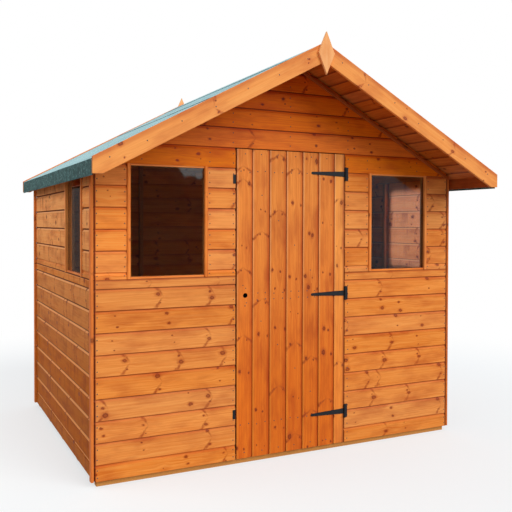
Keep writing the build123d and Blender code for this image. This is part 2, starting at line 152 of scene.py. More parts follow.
# %% [markdown]
# ## From shells to a finished piece
# All boards of one wall become one object, as the frame groups them. The helper writes the mesh,
# turns every face outwards, stores the two facts as attributes, rides the piece on its body and
# says which node of the frame it stands for.

# %% Make a piece from its shells
def in_scene(name, data):
    """A new object of the scene that holds a mesh, a lamp or a camera."""
    thing = bpy.data.objects.new(name, data)
    bpy.context.scene.collection.objects.link(thing)
    return thing


def piece(name, shells, material, body, stands_for=()):
    """One mesh object from closed shells of (points, faces, grain, board)."""
    points, faces, grain, board = zip(*shells)
    starts = np.cumsum([0, *map(len, points)]).tolist()
    faces = [[corner + start for corner in face] for start, shell in zip(starts, faces) for face in shell]
    mesh = bpy.data.meshes.new(name)
    mesh.from_pydata(np.concatenate(points).tolist(), [], faces)
    for label, values in (("grain", grain), ("board", board)):
        layer = mesh.attributes.new(label, "FLOAT_VECTOR", "POINT")
        layer.data.foreach_set("vector", np.concatenate(values).astype(np.float32).ravel())
    edit = bmesh.new()
    edit.from_mesh(mesh)
    bmesh.ops.recalc_face_normals(edit, faces=edit.faces)
    edit.to_mesh(mesh)
    edit.free()
    mesh.shade_smooth()
    mesh.set_sharp_from_angle(angle=radians(30))
    mesh.materials.append(material)
    thing = in_scene(name, mesh)
    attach(thing, body)
    if stands_for:
        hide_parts(*stands_for)
    print(f"{name} on the {body}: {len(shells)} shells, {len(faces)} faces")


# %% [markdown]
# ## Colours and nodes
# Wood stain is chosen from a card, so colours are written as the hex numbers of such a card and
# turned to linear light by one function. One more small function adds a node with its settings and
# links: every material below is a list of such calls.

# %% Material helpers
def linear(code):
    """sRGB hex to linear RGBA: c / 12.92 in the toe, ((c + 0.055) / 1.055) ** 2.4 above it."""
    c = np.array([int(code[i:i + 2], 16) for i in (1, 3, 5)]) / 255
    return (*np.where(c <= 0.04045, c / 12.92, ((c + 0.055) / 1.055) ** 2.4), 1.0)


SECOND_WORD = {"Math": "operation", "VectorMath": "operation", "MapRange": "interpolation_type",
               "Mix": "blend_type"}
IN_ORDER = {"Mix": (0, 6, 7), "TexNoise": ("Vector", "Scale", "Detail", "Roughness"),
            "Bump": ("Strength", "Distance", "Height")}


def add_node(tree, kind, links=(), out=0, **settings):
    """Adds one node. A second word after its kind is its operation, interpolation or blend type.
    Links go to its sockets, in order or by name: another node's output is linked, a number or a
    colour is set on the socket, a hex code after it is made linear, None leaves the socket alone."""
    kind, _, word = kind.partition(" ")
    node = tree.nodes.new("ShaderNode" + kind)
    if kind == "Mix":
        node.data_type, out = "RGBA", 2
    if word:
        settings[SECOND_WORD[kind]] = word
    for key, value in settings.items():
        setattr(node, key, value)
    for key, value in links.items() if isinstance(links, dict) else zip(IN_ORDER.get(kind, range(9)), links):
        if isinstance(value, bpy.types.NodeSocket):
            tree.links.new(value, node.inputs[key])
        elif value is not None:
            node.inputs[key].default_value = linear(value) if isinstance(value, str) else value
    return node.outputs[out]


def finish(name, **constants):
    """A new material, the function that adds nodes to it, and the sockets of its Principled shader.
    What is the same all over is set on the shader's own sockets."""
    material = bpy.data.materials.new(name)
    material.use_nodes = True
    sockets = material.node_tree.nodes["Principled BSDF"].inputs
    for key, value in constants.items():
        sockets[key.replace("_", " ")].default_value = linear(value) if isinstance(value, str) else value
    return material, partial(add_node, material.node_tree), sockets


def link(sockets, **outputs):
    """Links nodes' outputs to a shader's sockets by name."""
    for key, output in outputs.items():
        output.id_data.links.new(output, sockets[key.replace("_", " ")])


print("stain #DD823F in linear light:", np.round(linear("#DD823F"), 3))

# %% [markdown]
# ## Stained softwood
# The cladding is European redwood, a pine, dipped in a thin orange-brown stain. The stain is clear
# enough to leave the grain in sight, so the eye reads three things. Long soft streaks of growth
# rings run along the board. Knots sit in whorls, one every 30 to 45 cm where the tree grew a ring
# of branches, often two side by side, and the streaks swerve round them. Where the saw ran along a
# branch it leaves a dark arrow across the board. Hand-painted knots would never repeat well, and a
# plain noise has no whorls, so the whorls come from a one-dimensional Voronoi along the board.
# Stain sinks into dry softwood and leaves almost no film, so the shader's gloss is low.

# %% Knots and the saw's arrows
def wood_marks(add, grain, along, across, whorl):
    """Knots in whorls, and the arrows that a saw leaves along a branch. Gives how much halo, how
    much knot and how much arrow lies on a point, and its place across once the streaks have
    swerved round the knots."""
    # the nearest whorl along the board, and three random numbers that belong to it
    whorls = add("TexVoronoi", {"W": along, "Scale": 1 / whorl, "Randomness": 0.9},
                 voronoi_dimensions="1D").node
    ahead = add("Math SUBTRACT", [along, whorls.outputs["W"]])
    luck = add("SeparateXYZ", [whorls.outputs["Color"]]).node.outputs
    ragged = add("TexNoise", [grain, 70.0, 3])
    smear = add("TexNoise", [grain, 28.0, 2])

    # two knots per whorl, one in each half of the board; most are small, a few are 2 cm across
    bent, halo, core = across, 0, 0
    for half, stagger, near, far in ((0, 4 * mm, 2 * mm, 46 * mm), (1, -9 * mm, -46 * mm, -6 * mm)):
        side = add("Math SUBTRACT", [across, add("MapRange", [luck[half], 0, 1, near, far])])
        spot = add("CombineXYZ", [add("Math ADD", [ahead, stagger]), side, 0])
        away = add("VectorMath LENGTH", [add("VectorMath MULTIPLY", [spot, (0.72, 1, 1)])], out="Value")
        chance = add("Math FRACT", [add("Math MULTIPLY", [luck[2], 3.7 + 2 * half])])
        size = add("MapRange", [add("Math POWER", [chance, 1.8]), 0, 1, 2 * mm, 10.5 * mm])
        frayed = add("Math SUBTRACT", [add("Math MULTIPLY_ADD", [ragged, 12 * mm, away]), 6 * mm])
        radii = add("Math DIVIDE", [frayed, size])
        swerve = add("MapRange SMOOTHSTEP", [away, 0.5 * mm, 45 * mm, 0.7, 0])
        bent = add("Math SUBTRACT", [bent, add("Math MULTIPLY", [side, swerve])])
        # a big knot is a dark ring round a paler heart, a small one is dark all through
        from_ring = add("Math ABSOLUTE", [add("Math SUBTRACT", [radii, 0.85])])
        ring = add("MapRange SMOOTHSTEP", [from_ring, 0.1, 0.5, 1, 0])
        disc = add("MapRange SMOOTHSTEP", [radii, 0.9, 1.4, 1, 0])
        disc = add("Math MULTIPLY", [disc, add("MapRange", [size, 3 * mm, 8 * mm, 0.95, 0.6])])
        core = add("Math MAXIMUM", [core, add("Math MAXIMUM", [ring, disc])])
        soft_edge = add("Math MULTIPLY_ADD", [smear, 1.6, radii])
        halo = add("Math MAXIMUM", [halo, add("MapRange SMOOTHSTEP", [soft_edge, 1.4, 3.6, 0.7, 0])])

    # the saw's arrow: two soft, broken wedges that meet near the board's middle
    aside = add("Math ABSOLUTE", [across])
    wavy = add("Math MULTIPLY_ADD", [smear, 22 * mm, add("Math MULTIPLY_ADD", [aside, 0.7, ahead])])
    from_line = add("Math ABSOLUTE", [add("Math SUBTRACT", [wavy, 35 * mm])])
    wide = add("MapRange", [aside, 0, 50 * mm, 6 * mm, 18 * mm])
    arrow = add("MapRange SMOOTHSTEP", [from_line, 0, wide, 1, 0])
    chosen = add("MapRange", [luck[2], 0.48, 0.54, 0, 0.9])
    outer = add("MapRange", [aside, 4 * mm, 30 * mm, 0.15, 1])
    for amount in (chosen, outer, add("MapRange", [ragged, 0.35, 0.62, 0.35, 1])):
        arrow = add("Math MULTIPLY", [arrow, amount])
    return halo, core, arrow, bent


# %% The stained pine recipe
CHARRED = "#0A0604"  # the wall of a hole that was burnt through


def stained_pine(name, pale, full, pooled, knot, whorl=0.36, knots=1.0, roughness=0.62, gloss=0.18,
                 seam=0.0, crease=0.872, crest=None, arris=0.0, runs=0.0, damp=None, ends_at=None):
    """Stained pine that reads the grain and board attributes.

    pale, full and pooled are the stain on soft wood, on dense wood and where it gathered. whorl is
    the length between rings of knots, and knots is how dark they are. seam is how dark stain and
    dirt lie in the hollow under the next board, crease is the share of the width where that
    begins, and crest is the hollow's lip, where rain has washed the stain thin. arris is how pale
    the other edge has been rubbed, and runs is how much stain has run down the face. damp is the
    tint that wood takes near the ground. ends_at is the x where the boards end, with end grain
    that has drunk dark stain."""
    material, add, shader = finish(name, Roughness=roughness, IOR=1.5, Specular_IOR_Level=gloss)
    grain, board = (add("Attribute", out="Vector", attribute_name=label) for label in ("grain", "board"))
    along, across, through = add("SeparateXYZ", [grain]).node.outputs
    tone, hue, share = add("SeparateXYZ", [board]).node.outputs
    halo, core, arrow, bent = wood_marks(add, grain, along, across, whorl)

    # growth rings as streaks 6 mm apart across the board and sixty times as long, fibres 1 mm apart,
    # and patches 6 cm wide and 20 cm long
    swayed = add("Math MULTIPLY_ADD", [add("TexNoise", [grain, 2.2, 2]), 18 * mm, bent])
    stretched = add("CombineXYZ", [along, swayed, through])
    streaks, fibres, patches = (
        add("TexNoise", [add("VectorMath MULTIPLY", [stretched, scales]), 1.0, detail, rough])
        for scales, detail, rough in (
            ((2.6, 165, 55), 4, 0.55), ((22, 900, 300), 2, None), ((5, 16, 8), 3, None)))

    # coats of colour over the soft wood, each an amount and a tint: stain in the dense wood, in
    # patches and near the upper edge, then weather, and last the halo, the knot and burnt wood
    patch = add("MapRange", [patches, 0.45, 0.8, 0, 0.6])
    pool = add("Math ADD", [patch, add("MapRange", [share, 0.7, 0.86, 0, 0.45])], use_clamp=True)
    coats = [(add("MapRange", [streaks, 0.3, 0.7, 0, 1]), full), (pool, pooled)]
    if runs:
        # stain that has run down from the seams: streaks 6 cm wide and five times as long
        run_space = add("VectorMath MULTIPLY", [grain, (16, 3, 1)])
        trails = add("TexNoise", {"Vector": run_space, "Scale": 1.0, "Detail": 2.0, "Distortion": 0.4})
        trail = add("MapRange SMOOTHSTEP", [trails, 0.54, 0.66, 0, runs])
        coats.append((add("Math MULTIPLY", [trail, add("MapRange", [share, 0.05, 0.7, 0.25, 1])]), pooled))
    if arris:
        coats.append((add("MapRange SMOOTHSTEP", [share, 0.01, 0.1, arris, 0]), "#FFC88C"))
    if damp:
        height = add("SeparateXYZ", [add("TexCoord", out="Object")], out="Z")
        coats.append((add("MapRange SMOOTHSTEP", [height, 0.35, 1.75, 1, 0]), damp, "Mix MULTIPLY"))
    if crest:
        coats.append((add("MapRange SMOOTHSTEP", [share, 0.765, 0.81, 0, 0.75]), crest))
    coats.append((add("Math MULTIPLY", [add("Math MAXIMUM", [halo, arrow]), knots]), pooled))
    core = add("Math MULTIPLY", [core, 0.82 * knots])
    dark = add("Math MAXIMUM", [core, add("Math MULTIPLY", [arrow, 0.34])])
    dark = add("Math MAXIMUM", [dark, add("MapRange SMOOTHSTEP", [share, crease, crease + 0.028, 0, seam])])
    if ends_at:
        aside = add("Math ABSOLUTE", [add("SeparateXYZ", [add("TexCoord", out="Object")], out="X")])
        drunk = add("MapRange", [aside, ends_at - 9 * mm, ends_at - 3 * mm, 0, 0.9])
        dark = add("Math MAXIMUM", [dark, drunk])
    coats += [(dark, knot), (add("MapRange", [share, 1.5, 1.6, 0, 1]), CHARRED)]
    colour = pale
    for amount, tint, *way in coats:
        colour = add(*(way or ["Mix"]), [amount, colour, tint])

    # every board has its own tone and hue, and its fibres are a little lighter and darker
    light = add("MapRange", [tone, 0, 1, 0.965, 1.035], clamp=False)
    value = add("Math MULTIPLY", [light, add("MapRange", [fibres, 0.3, 0.7, 1.05, 0.95])])
    colour = add("HueSaturation", {
        "Hue": add("MapRange", [hue, 0, 1, 0.4975, 0.5022], clamp=False),
        "Saturation": add("MapRange", [hue, -2, 1, 1.12, 0.97]), "Value": value, "Color": colour})
    # knots are glassy hard wood, the rest is open and drier; the fibres give a faint tooth
    sheen = add("MapRange", [core, 0, 1, roughness, roughness - 0.2])
    bump = add("Bump", [0.35, 0.6 * mm, add("Math ADD", [fibres, streaks])])
    link(shader, Base_Color=colour, Roughness=sheen, Normal=bump)
    return material


# %% The stains
# amber on the front, redder where the roof keeps sun and rain off, duller and streaked on the sides
shiplap_stain = stained_pine("stained_shiplap", "#F9A04C", "#E68230", "#B84C14", "#742206",
                             whorl=0.3, knots=0.9, seam=0.5, ends_at=gable_x)
gable_stain = stained_pine("stained_shiplap_under_roof", "#F6841F", "#E36A14", "#B03A0A", "#5C1803",
                           whorl=0.33, seam=0.72)
side_stain = stained_pine("stained_shiplap_sides", "#FFB268", "#F8984C", "#B85420", "#5A1A04", gloss=0.05,
                          seam=0.95, crease=0.852, crest="#F8B06C", runs=0.55, damp="#C09C22")
door_stain = stained_pine("stained_door_boards", "#FA9A40", "#E27A2B", "#B24A18", "#6B2004", whorl=0.28,
                          seam=0.68, crease=0.885, arris=0.4, damp="#F0CB6C")
barge_stain = stained_pine("stained_bargeboard", "#FFA650", "#F5913B", "#C75618", "#7A2A08", whorl=0.42)
finial_stain = stained_pine("stained_finial", "#FFBE80", "#FBAE68", "#D87A34", "#7A2E0B",
                            whorl=0.6, knots=0.5)
corner_stain, bead_stain, cover_stain = (
    stained_pine(name, *colours, whorl=0.5, knots=0.7) for name, *colours in (
        ("stained_corner_strips", "#EE8028", "#D4681C", "#A2420E", "#5A1C04"),
        ("stained_window_beads", "#FFA04E", "#F28636", "#BC5218", "#6B2406"),
        ("stained_cover_strips", "#C4621F", "#A84C12", "#7A2E08", "#3A0F02")))
roof_wood = stained_pine("stained_roof_boards", "#E08238", "#C96620", "#9A4010", "#4F1B05",
                         whorl=0.4, seam=0.5)
floor_wood = stained_pine("planed_floor_boards", "#D9B583", "#C99F6A", "#A87843", "#6A4322", roughness=0.7)
print("stained pine:", [material.name for material in bpy.data.materials if "stained" in material.name])

# %% [markdown]
# ## Sawn framing timber
# Studs, rails and rafters keep the frame's own solids: they are plain sawn sections, so their
# shape is right already. They are undipped spruce, pale and rough from the saw, and read Object
# coordinates that a Mapping turns so that the pattern's long way lies along each timber.

# %% The sawn timber recipe
def sawn_timber(name, pale="#DC9858", deep="#B56A32", turn=(0, 0, 0), inside=(), bore=None):
    """Undipped sawn spruce whose grain runs along X, turned by the given Euler angles. inside is how
    far the room reaches from the middle in X and Y: timber beyond it lies in the walls' joints,
    where stain and dirt have crept in. bore is the x and z of a hole with a blackened wall."""
    material, add, shader = finish(name, Roughness=0.8, IOR=1.5)
    where = add("TexCoord", out="Object")
    turned = add("Mapping", {"Vector": where, "Rotation": turn})
    # streaks 9 mm apart along the timber, and the saw's teeth every 2.4 mm across it
    streaks = add("TexNoise", [add("VectorMath MULTIPLY", [turned, (3, 110, 110)]), 1.0, 4])
    teeth = add("TexNoise", [add("VectorMath MULTIPLY", [turned, (420, 20, 20)]), 1.0, 2])
    colour = add("Mix", [streaks, pale, deep])
    colour = add("HueSaturation", {"Value": add("MapRange", [teeth, 0.3, 0.7, 1.05, 0.9]), "Color": colour})
    for axis, limit in zip("XY", inside):
        beyond = add("Math ABSOLUTE", [add("SeparateXYZ", [where], out=axis)])
        splashed = add("MapRange", [beyond, limit - 26 * mm, limit - 16 * mm, 0, 0.85])
        colour = add("Mix", [splashed, colour, "#7A3510"])
        colour = add("Mix", [add("MapRange", [beyond, limit - mm, limit, 0, 0.97]), colour, "#2A1006"])
    if bore:
        flat = add("VectorMath MULTIPLY", [where, (1, 0, 1)])
        away = add("VectorMath DISTANCE", [flat, (bore[0], 0, bore[1])], out="Value")
        colour = add("Mix", [add("MapRange", [away, 15 * mm, 16 * mm, 1, 0]), colour, CHARRED])
    link(shader, Base_Color=colour, Normal=add("Bump", [0.4, 0.5 * mm, teeth]))
    return material


def dress(material, *nodes):
    """Gives nodes of the frame a better material and leaves their shape alone."""
    for node in nodes:
        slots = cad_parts[node].data.materials
        slots.clear()
        slots.append(material)
    print(material.name, "on", *nodes)


quarter = pi / 2
room = high("side_studs")[0] - 2 * mm, high("rear_studs")[1] - 2 * mm
keyhole = low("door_boards")[0] + 54 * mm, (low("lock_case")[2] + high("lock_case")[2]) / 2
dress(sawn_timber("sawn_spruce_level", inside=room), "front_rails", "rear_rails")
dress(sawn_timber("sawn_spruce_deep", turn=(0, 0, quarter), inside=room), "side_rails", "top_rails")
dress(sawn_timber("sawn_spruce_upright", turn=(0, quarter, 0), inside=room),
      "front_studs", "rear_studs", "side_studs")
dress(sawn_timber("sawn_spruce_ledges", bore=keyhole),
      "rafters", "collar_tie", "door_ledges", "verge_battens")
dress(sawn_timber("sawn_spruce_braces", turn=(0, quarter, 0)), "door_braces")
dress(sawn_timber("treated_bearers", "#E09A4C", "#B8742B"), "floor_bearers")

# %% [markdown]
# ## Shiplap
# Shiplap is a 119 mm board with a hollow worked along its upper edge and a rebate behind its lower
# edge, so that each board laps over the tongue of the one below. From the street this reads as a
# dark line with a softly lit hollow under it. A bump map would give the line but not the hollow's
# shade, and not the stepped outline at a corner, so the profile is real.

# %% The shiplap profile
COVER, BOARD, TONGUE = 119 * mm, 15 * mm, 8 * mm  # height of the face, thickness, tongue's height


def shiplap(cover, thickness=BOARD, cove=True, extra=()):
    """Profile of one board whose face is cover high: (height, depth) from the lower arris up the
    face, round the hollow (a quarter ellipse that starts level and ends upright), up the tongue,
    and down the back to the rebate that covers the tongue below."""
    hollow_height, hollow_depth, rebate = 17 * mm, 0.5 * thickness, 0.53 * thickness
    top, tongue = [(cover - mm, 0), (cover, mm)], [(cover, thickness)]
    if cove:
        turn = np.linspace(0, pi / 2, 6)
        top = [(cover - hollow_height * cos(a), hollow_depth * sin(a)) for a in turn]
        tongue = [(cover + TONGUE, hollow_depth), (cover + TONGUE, thickness)]
    back = [(h, thickness) for h in (*reversed(extra), TONGUE + mm)] + [(TONGUE + mm, rebate), (0, rebate)]
    return [(0, mm), (mm, 0), *((h, 0) for h in extra), *top, *tongue, *back]


print("shiplap profile points:", len(shiplap(COVER)))

# %% [markdown]
# ## Setting out the courses
# Boards are set out from the door's head, both up into the gable and down to the window sills. A
# ripped board below the sills takes up what is left, and so does the lowest one. At the front that
# ripped board is split at the sill: a full-length strip under the windows, short pieces beside
# them. Courses are written as heights above the foot of the cladding.

# %% Courses
RIPPED = 88 * mm  # the board that fills up below the sills
sill, window_top = low("side_window_beads")[2] - foot, high("side_window_beads")[2] - foot
head, gable_top = door_head - foot, high("front_gable")[2] - foot
upper = [head - COVER * k for k in range(7)]
lower = [upper[-1] - RIPPED - COVER * k for k in range(9)]
gable_seams = [*(head + COVER * k for k in range(5)), gable_top]
plain_seams = sorted([0, *lower, *upper])
front_seams = sorted([*plain_seams, sill])
side_seams = [*(z for z in plain_seams if z < window_top + mm), high("left_wall")[2] - foot]
print("seams of the front wall (mm):", [round(z * 1000) for z in front_seams])

# %% [markdown]
# A wall is then a list of spans. Each span is a course, its two ends, and whether its upper edge
# has the hollow: a ripped edge has none. The four walls differ only in how along, across and depth
# become x, y and z.

# %% Places of the walls
def wall(level, face, inward):
    """Place of a wall's boards. level is the way they run, 0 for x and 1 for y, across is up from
    the foot, and depth goes from the wall's face into the shed."""
    def place(along, across, depth):
        there = face + inward * depth
        return (there, along, foot + across) if level else (along, there, foot + across)
    return place


at_front, at_rear = wall(0, front_y, 1), wall(0, rear_y, -1)
at_left, at_right = wall(1, -side_x, 1), wall(1, side_x, -1)
def slope_end(side):
    """End of a gable board as a function of its height: the eaves' end, then the slope."""
    return lambda across, depth: side * gable_reach(foot + across)


print(f"front at y {front_y:.3f} m, rear at y {rear_y:.3f} m, sides {side_x:.3f} m from the middle")


# %% Boards of a wall
INDOORS = 0.89  # scales the inner face's share, so that its dark seam is a thin line
REDDER = -1.7  # hue of the boards that the roof shelters
cut = 2 * mm  # saw cuts leave this at an opening
eaves_break = gable_tip - gable_x * SLOPE - foot  # height where a gable's end turns into the slope


def course(bottom, top, run, place, cove=True, corner=0.0):
    """One board between two heights above the foot. corner is a height where its ends turn."""
    extra = (corner - bottom,) if bottom + 2 * mm < corner < top - 15 * mm else ()
    loop = shiplap(top - bottom, BOARD, cove, extra)
    shell = carry([(h + bottom, d) for h, d in loop], run, place)
    inner_face = np.array(loop)[:, 1] > BOARD - 0.1 * mm
    shell[3].reshape(-1, len(loop), 3)[:, inner_face, 2] *= INDOORS
    return shell


def under_the_slope(seams, place, corner=0.0):
    """Courses from one slope to the other, the last of them cut short and plain under the ridge."""
    ends = slope_end(-1), slope_end(1)
    return [course(bottom, top - (12 * mm if top == gable_top else 0), ends, place, top != gable_top, corner)
            for bottom, top in zip(seams, seams[1:])]


def lengths(bottom, ends):
    """The run of each board of a course: one on each side of the window, or one from end to end."""
    return (ends[:2], ends[2:]) if sill - mm < bottom < window_top - mm else (ends[::3],)


left_window = low("front_left_window_beads")[0], high("front_left_window_beads")[0]
side_window = low("side_window_beads")[1], high("side_window_beads")[1]
front_ends = {
    -1: (slope_end(-1), left_window[0] - cut, left_window[1] + cut, doorway[0]),
    1: (doorway[1], -left_window[1] - cut, -left_window[0] + cut, slope_end(1)),
}
front = {-1: [], 1: []}
for bottom, top in zip(front_seams, front_seams[1:]):
    for side, ends in front_ends.items():
        for run in lengths(bottom, ends):
            shell = course(bottom, top, run, at_front, abs(top - sill) > mm, eaves_break)
            if side < 0 and run != ends[::3]:
                shell[3][:, 0] += 2.2 if run[0] is ends[0] else 1.2  # paler beside the window
            if bottom > window_top - mm:
                shell[3][:, 1] = REDDER
            front[side].append(shell)

gable = under_the_slope(gable_seams, at_front)
for row, shell in enumerate(gable):
    shell[3][:, 1] = 0.5 - 0.4 * row  # the higher, the less the stain has bleached
rear = under_the_slope([*plain_seams, *gable_seams[1:]], at_rear, eaves_break)

left, right = [], []
side_ends = inside_front, side_window[0] - cut, side_window[1] + cut, inside_rear
for bottom, top in zip(side_seams, side_seams[1:]):
    cove = top != side_seams[-1]
    right.append(course(bottom, top, side_ends[::3], at_right, cove))
    if bottom < sill < top:
        left.append(course(bottom, sill, side_ends[::3], at_left, False))
        bottom = sill
    for run in lengths(bottom, side_ends):
        left.append(course(bottom, top, run, at_left, cove))

for name, shells, stain, node in (
        ("front_left", front[-1], shiplap_stain, "front_wall_left"),
        ("front_right", front[1], shiplap_stain, "front_wall_right"),
        ("front_gable", gable, gable_stain, "front_gable"), ("rear", rear, shiplap_stain, "rear_wall"),
        ("left_side", left, side_stain, "left_wall"), ("right_side", right, side_stain, "right_wall")):
    piece("shiplap_" + name, shells, stain, "shed", [node])

# %% [markdown]
# ## Corner strips, window beads and cover strips
# These are plain laths. The corner strips close the ends of the side boards, the beads hold the
# glass and stand 8 mm proud of the cladding, and the cover strips run up the slope under the roof.

# %% Corner strips
strip_low, strip_high = low("corner_strips"), high("corner_strips")
strip_thickness, strip_width = strip_high[0] - side_x, 38 * mm
corners = []
for side in (-1, 1):
    for edge in (front_y, rear_y - strip_width):
        corners.append(carry(
            lath(strip_width, strip_thickness, 2 * mm), (strip_low[2], strip_high[2]),
            lambda along, across, depth: (side * (side_x + strip_thickness - depth), edge + across, along)))
        if edge > 0:
            corners[-1][3][:, :2] = 2.0  # the rear ones have bleached
piece("corner_laths", corners, corner_stain, "shed", ["corner_strips"])

# %% Window beads
BEAD, PROUD, GLASS_LINE = 20 * mm, 8 * mm, 13 * mm
SILL_BEAD, HEAD_BEAD, BUTT = 12 * mm, 10 * mm, 0.3 * mm


def out_of(place, out):
    """The same wall's place, moved out of the wall by a length."""
    return lambda along, across, depth: place(along, across, depth - out)


def upright(place, start):
    """The same wall's place for an upright lath: along runs up, across runs sideways from start."""
    return lambda along, across, depth: place(start + across, along, depth)


for name, (first, last), place in (
        ("front_left_window", left_window, at_front),
        ("front_right_window", (-left_window[1], -left_window[0]), at_front),
        ("side_window", side_window, at_left)):
    beads = [carry(lath(BEAD, PROUD + GLASS_LINE, 3 * mm), (sill, window_top),
                   upright(out_of(place, PROUD), edge), bow=0.3 * mm) for edge in (first, last - BEAD)]
    for bottom, deep in ((sill, SILL_BEAD), (window_top - HEAD_BEAD, HEAD_BEAD)):
        loop = [(h + bottom, d) for h, d in lath(deep, GLASS_LINE - 2 * mm, 1.5 * mm)]
        beads.append(carry(loop, (first + BEAD + BUTT, last - BEAD - BUTT), out_of(place, -2 * mm), bow=0))
    piece(name + "_laths", beads, bead_stain, "shed", [name + "_beads"])


# %% Cover strips along the slope
def on_slope(side, apex_height, y):
    """Place of a board on the slope: along runs down from the ridge, across rises square to the
    slope from a line through the apex height, depth runs towards the rear from y."""
    return lambda along, across, depth: (
        side * (along * cos(PITCH) + across * sin(PITCH)), y + depth,
        apex_height - along * sin(PITCH) + across * cos(PITCH))


def ridge_cut(across, depth):
    """Plumb cut at the ridge: x = 0 where along = -across * tan(pitch), and a hair more, so that the
    two sides stay apart."""
    return -across * SLOPE + 0.2 * mm


def plumb_cut(reach):
    """Plumb cut at a distance reach from the ridge line."""
    return lambda across, depth: (reach - across * sin(PITCH)) / cos(PITCH)


cover_depth = 27 * mm
cover_apex = high("gable_cover_strips")[2] - 6 * mm  # a dark line is left under the roof boards
loop = [(h - cover_depth, d) for h, d in lath(cover_depth - 7 * mm, 12 * mm, 2 * mm)]
cover_y = low("gable_cover_strips")[1]
covers = [carry(loop, (ridge_cut, plumb_cut(side_x)), on_slope(side, cover_apex, cover_y))
          for side in (-1, 1)]
piece("gable_cover_laths", covers, cover_stain, "shed", ["gable_cover_strips"])

# %% [markdown]
# ## Bargeboards and finials
# A bargeboard is a planed board on edge, cut plumb at the ridge and at the eaves, with its lowest
# corner cut off level. The board is one run whose two ends are functions of the height across it.
# A finial is a flat diamond of the same wood over the joint at the top.

# %% Bargeboards
barge_width, barge_thickness = 98 * mm, 18 * mm
barge_x, barge_apex = high("front_bargeboard_right")[[0, 2]]
barge_drop = barge_apex - low("front_bargeboard_right")[2]


def barge_end(across, depth):
    """The plumb cut at the eaves or the level cut below it, whichever comes first."""
    level = (barge_drop + across * cos(PITCH)) / sin(PITCH)
    return np.minimum(plumb_cut(barge_x)(across, depth), level)


# the height across the board where the plumb cut and the level cut meet
barge_corner = (barge_x * SLOPE - barge_drop) / (cos(PITCH) + sin(PITCH) * SLOPE)
loop = lath(barge_width, barge_thickness, 2 * mm, [barge_corner + barge_width])
loop = [(h - barge_width, d) for h, d in loop]
for end in ("front", "rear"):
    for side, hand in HANDS:
        node = f"{end}_bargeboard_{hand}"
        board = carry(loop, (ridge_cut, barge_end), on_slope(side, barge_apex, low(node)[1]), bow=0)
        piece(f"{end}_barge_plank_{hand}", [board], barge_stain, "shed", [node])


# %% Finials
def slab(outline, thickness, ease, place):
    """Closed shell of a flat shape with eased edges: four rings of its outline, two of them drawn
    in by ease towards the middle, closed by a face at the front and one at the back. Its grain
    stands upright."""
    outline = np.asarray(outline, float)
    middle = outline.mean(0)
    reach = np.linalg.norm(outline - middle, axis=1)
    drawn_in = middle + (outline - middle) * (1 - ease / reach.min())
    across, up = np.concatenate([drawn_in, outline, outline, drawn_in]).T
    depth = np.repeat([0, ease, thickness - ease, thickness], len(outline))
    seed, tone, hue = rng.uniform(0, 1, 3)
    grain = triples(up + LOG * seed, across - middle[0], depth + seed)
    return triples(*place(across, up, depth)), skin(4, len(outline)), grain, triples(tone + 0 * up, hue, 0.5)


for end in ("front", "rear"):
    bottom, top = low(end + "_finial"), high(end + "_finial")
    centre = (bottom[2] + top[2]) / 2
    diamond = [(0, bottom[2]), (top[0], centre), (0, top[2]), (-top[0], centre)]
    shape = slab(diamond, top[1] - bottom[1], 2 * mm,
                 lambda across, up, depth: (across, bottom[1] + depth, up))
    piece(end + "_diamond", [shape], finial_stain, "shed", [end + "_finial"])

# %% [markdown]
# ## Roof boards and felt
# The roof boards run from front to rear and show from below, under the front overhang, as narrow
# boards with a small V at each joint. The felt above them is a bitumen sheet with green mineral
# granules, laid in courses from the eaves up, so that each course laps over the one below, and
# folded down over the eaves. It is a path down the slope and round the edge, carried from front to
# rear and given a slow ripple, because felt never lies quite flat.

# %% Roof boards
def jointed(start, cover, thickness, bevel, gap=0.0):
    """Profile of a board that butts on its neighbours, with a small bevel at each edge of its face."""
    left, right = start + gap, start + cover - gap
    return [(left, bevel), (start + bevel, 0), (start + cover - bevel, 0), (right, bevel),
            (right, thickness), (left, thickness)]


ROOF_BOARDS, ROOF_BOARD = 15, 15 * mm
slope_length = roof_x / cos(PITCH)
cover = slope_length / ROOF_BOARDS
for side, hand in HANDS:
    boards = []
    for k in range(ROOF_BOARDS):
        loop = jointed(k * cover, cover, ROOF_BOARD, 1.2 * mm)
        if k == ROOF_BOARDS - 1:
            loop = [(min(h, (roof_x - d * sin(PITCH)) / cos(PITCH)), d) for h, d in loop]
        boards.append(carry(loop, roof_run, lambda along, across, depth: (
            side * (across * cos(PITCH) + depth * sin(PITCH)), along,
            ridge - across * sin(PITCH) + depth * cos(PITCH)), bow=0))
    piece("roof_planks_" + hand, boards, roof_wood, "shed", ["roof_boards_" + hand])

# %% A sheet of felt
FELT = 2.4 * mm
SQUARE = (sin(PITCH), cos(PITCH))  # the direction square to the slope


def on_boards(run):
    """The point on the roof boards' upper face at a distance run down the slope from the ridge."""
    return (run * cos(PITCH) + ROOF_BOARD * sin(PITCH), ridge - run * sin(PITCH) + ROOF_BOARD * cos(PITCH))


def felt_path(start, end, fold):
    """Points under the felt, each with its outward direction: straight down the slope, and where
    it folds, round the roof's edge and straight down by fold."""
    path = [(on_boards(run), SQUARE) for run in np.linspace(start, end, 24)]
    if fold:
        (x, z), _ = path[-1]
        path += [((x, z), (cos(a), sin(a))) for a in np.linspace(pi / 2 - PITCH, 0, 6)[1:]]
        path += [((x, z - down), (1, 0)) for down in np.linspace(0, fold, 5)[1:]]
    return path


